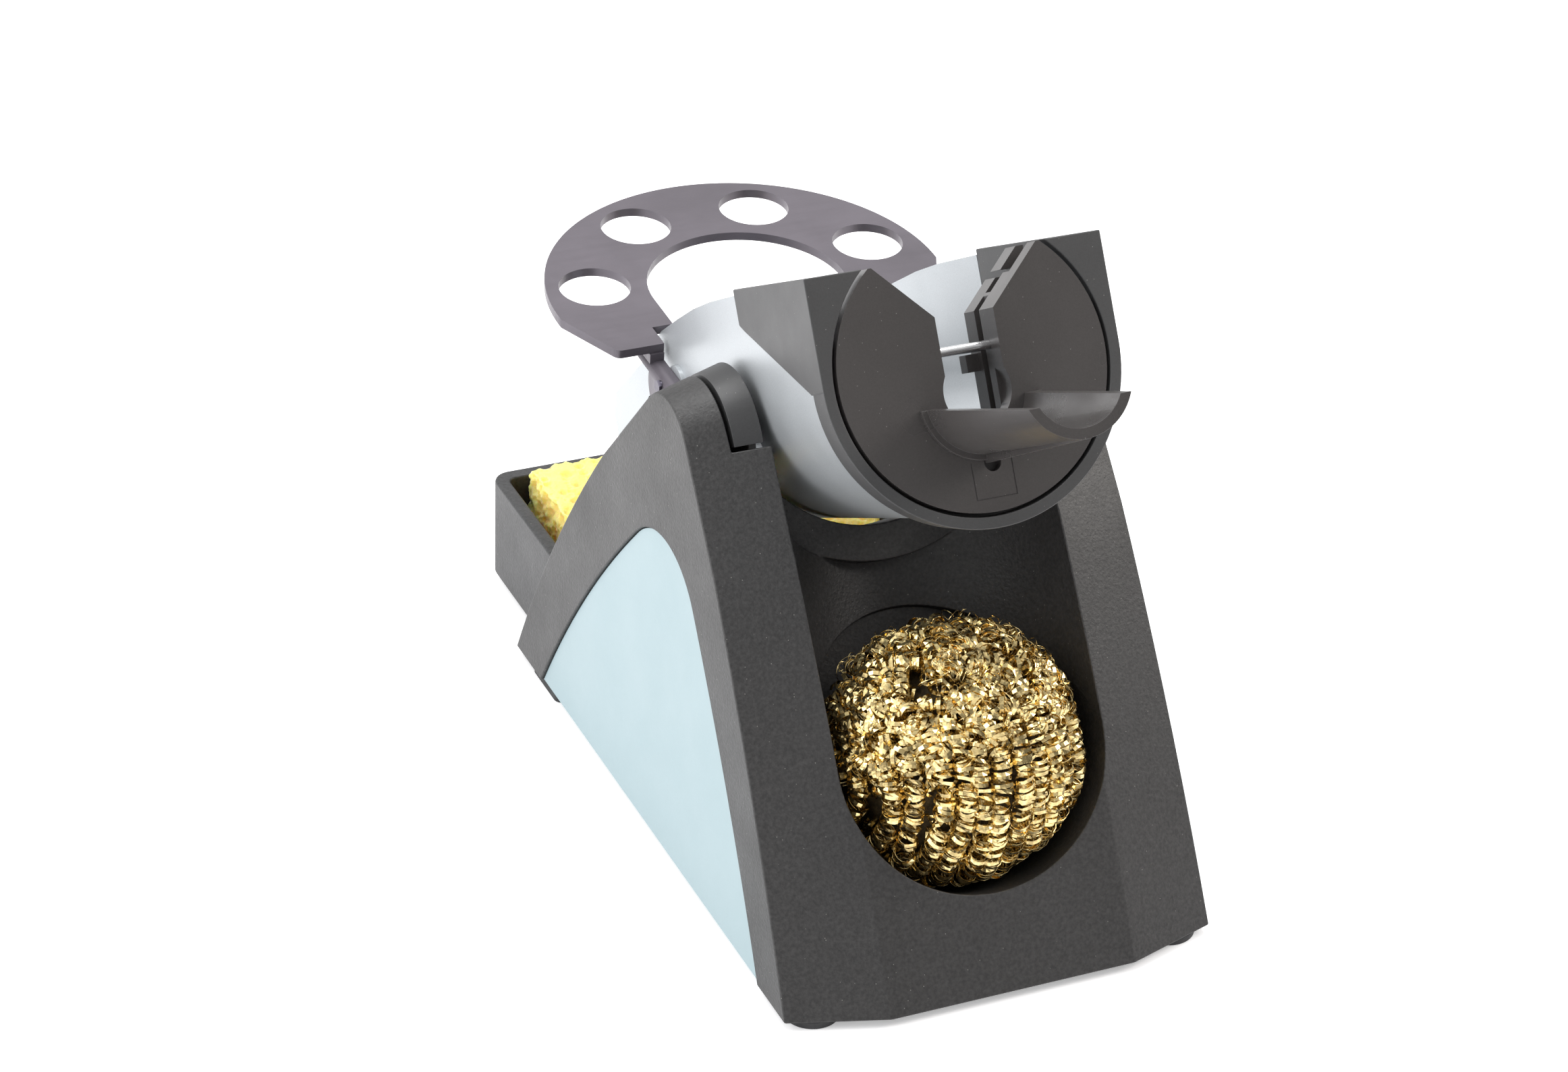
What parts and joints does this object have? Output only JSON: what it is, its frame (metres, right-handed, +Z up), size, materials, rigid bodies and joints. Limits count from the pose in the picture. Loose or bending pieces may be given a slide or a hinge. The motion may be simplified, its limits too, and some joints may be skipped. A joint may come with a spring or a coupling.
{
  "type": "soldering iron station",
  "caption": "Soldering iron rest: tilting holder with slotted mouth and cradle, plate for spare tips, brass wool well in a leaning stand, drawer with wet sponge.",
  "frame": {"origin": "on the bench under the middle of the whole rest, from the cradle's tip to the drawer's back", "axes": "+X right, +Y from the mouth of the holder to the drawer, +Z up"},
  "size_m": [0.098, 0.2096, 0.1491],
  "materials": {
    "stand_plastic": "coarse spark-eroded texture, matte black",
    "panel_blue": "fine satin, pale blue",
    "cover_sheet": "plain sheet",
    "screw_steel": "bright turned steel",
    "screw_dark": "darkened hexagon head",
    "foot_rubber": "plain black rubber",
    "bearing_plastic": "smooth satin black",
    "washer_plastic": "plain nylon",
    "shell_silver": "fine satin silver-grey paint",
    "mouth_plastic": "fine satin black, heat-resistant plastic",
    "plate_steel": "dark grey-purple coating on steel sheet",
    "insert_plastic": "smooth satin black, heat-resistant plastic",
    "drawer_plastic": "fine spark-eroded texture, matte black",
    "sponge_yellow": "porous cellulose",
    "wool_brass": "bright curled brass ribbon"
  },
  "bodies": {
    "base": {"stand": "stand_plastic", "side_panel_left": "panel_blue", "side_panel_right": "panel_blue", "base_cover": "cover_sheet", "cover_screw_fl": "screw_steel", "cover_screw_fr": "screw_steel", "cover_screw_bl": "screw_steel", "cover_screw_br": "screw_steel", "foot_fl": "foot_rubber", "foot_fr": "foot_rubber", "foot_bl": "foot_rubber", "foot_br": "foot_rubber", "bearing_left": "bearing_plastic", "bearing_right": "bearing_plastic", "friction_washer_left": "washer_plastic", "friction_washer_right": "washer_plastic"},
    "holder": {"holder_shell": "shell_silver", "mouth_housing": "mouth_plastic", "tip_bracket_left": "plate_steel", "tip_bracket_right": "plate_steel", "bracket_pin_left": "screw_dark", "bracket_pin_right": "screw_dark", "tip_plate": "plate_steel", "pivot_pin_left": "screw_steel", "pivot_pin_right": "screw_steel"},
    "mouth_insert": {"slot_disc": "insert_plastic", "slot_backing": "insert_plastic", "rest_pin": "screw_steel", "iron_cradle": "insert_plastic"},
    "drawer": {"sponge_drawer": "drawer_plastic"},
    "sponge_pad": {"sponge": "sponge_yellow"},
    "wool_pad": {"brass_wool": "wool_brass"}
  },
  "joints": [
    {"name": "holder_tilt", "type": "hinge", "parent": "base", "child": "holder", "pos_m": [0, -0.00976, 0.0938], "axis": [1, 0, 0], "range_deg": [0, 15]},
    {"name": "insert_out", "type": "slide", "parent": "holder", "child": "mouth_insert", "axis": [0, -0.8572, 0.515], "range_m": [0, 0.06]},
    {"name": "drawer_slide", "type": "slide", "parent": "base", "child": "drawer", "axis": [0, 1, 0], "range_m": [0, 0.12]},
    {"name": "sponge_lift", "type": "slide", "parent": "drawer", "child": "sponge_pad", "axis": [0, 0, 1], "range_m": [0, 0.0025]},
    {"name": "wool_out", "type": "slide", "parent": "base", "child": "wool_pad", "axis": [0, -0.8572, 0.515], "range_m": [0, 0.044]}
  ]
}
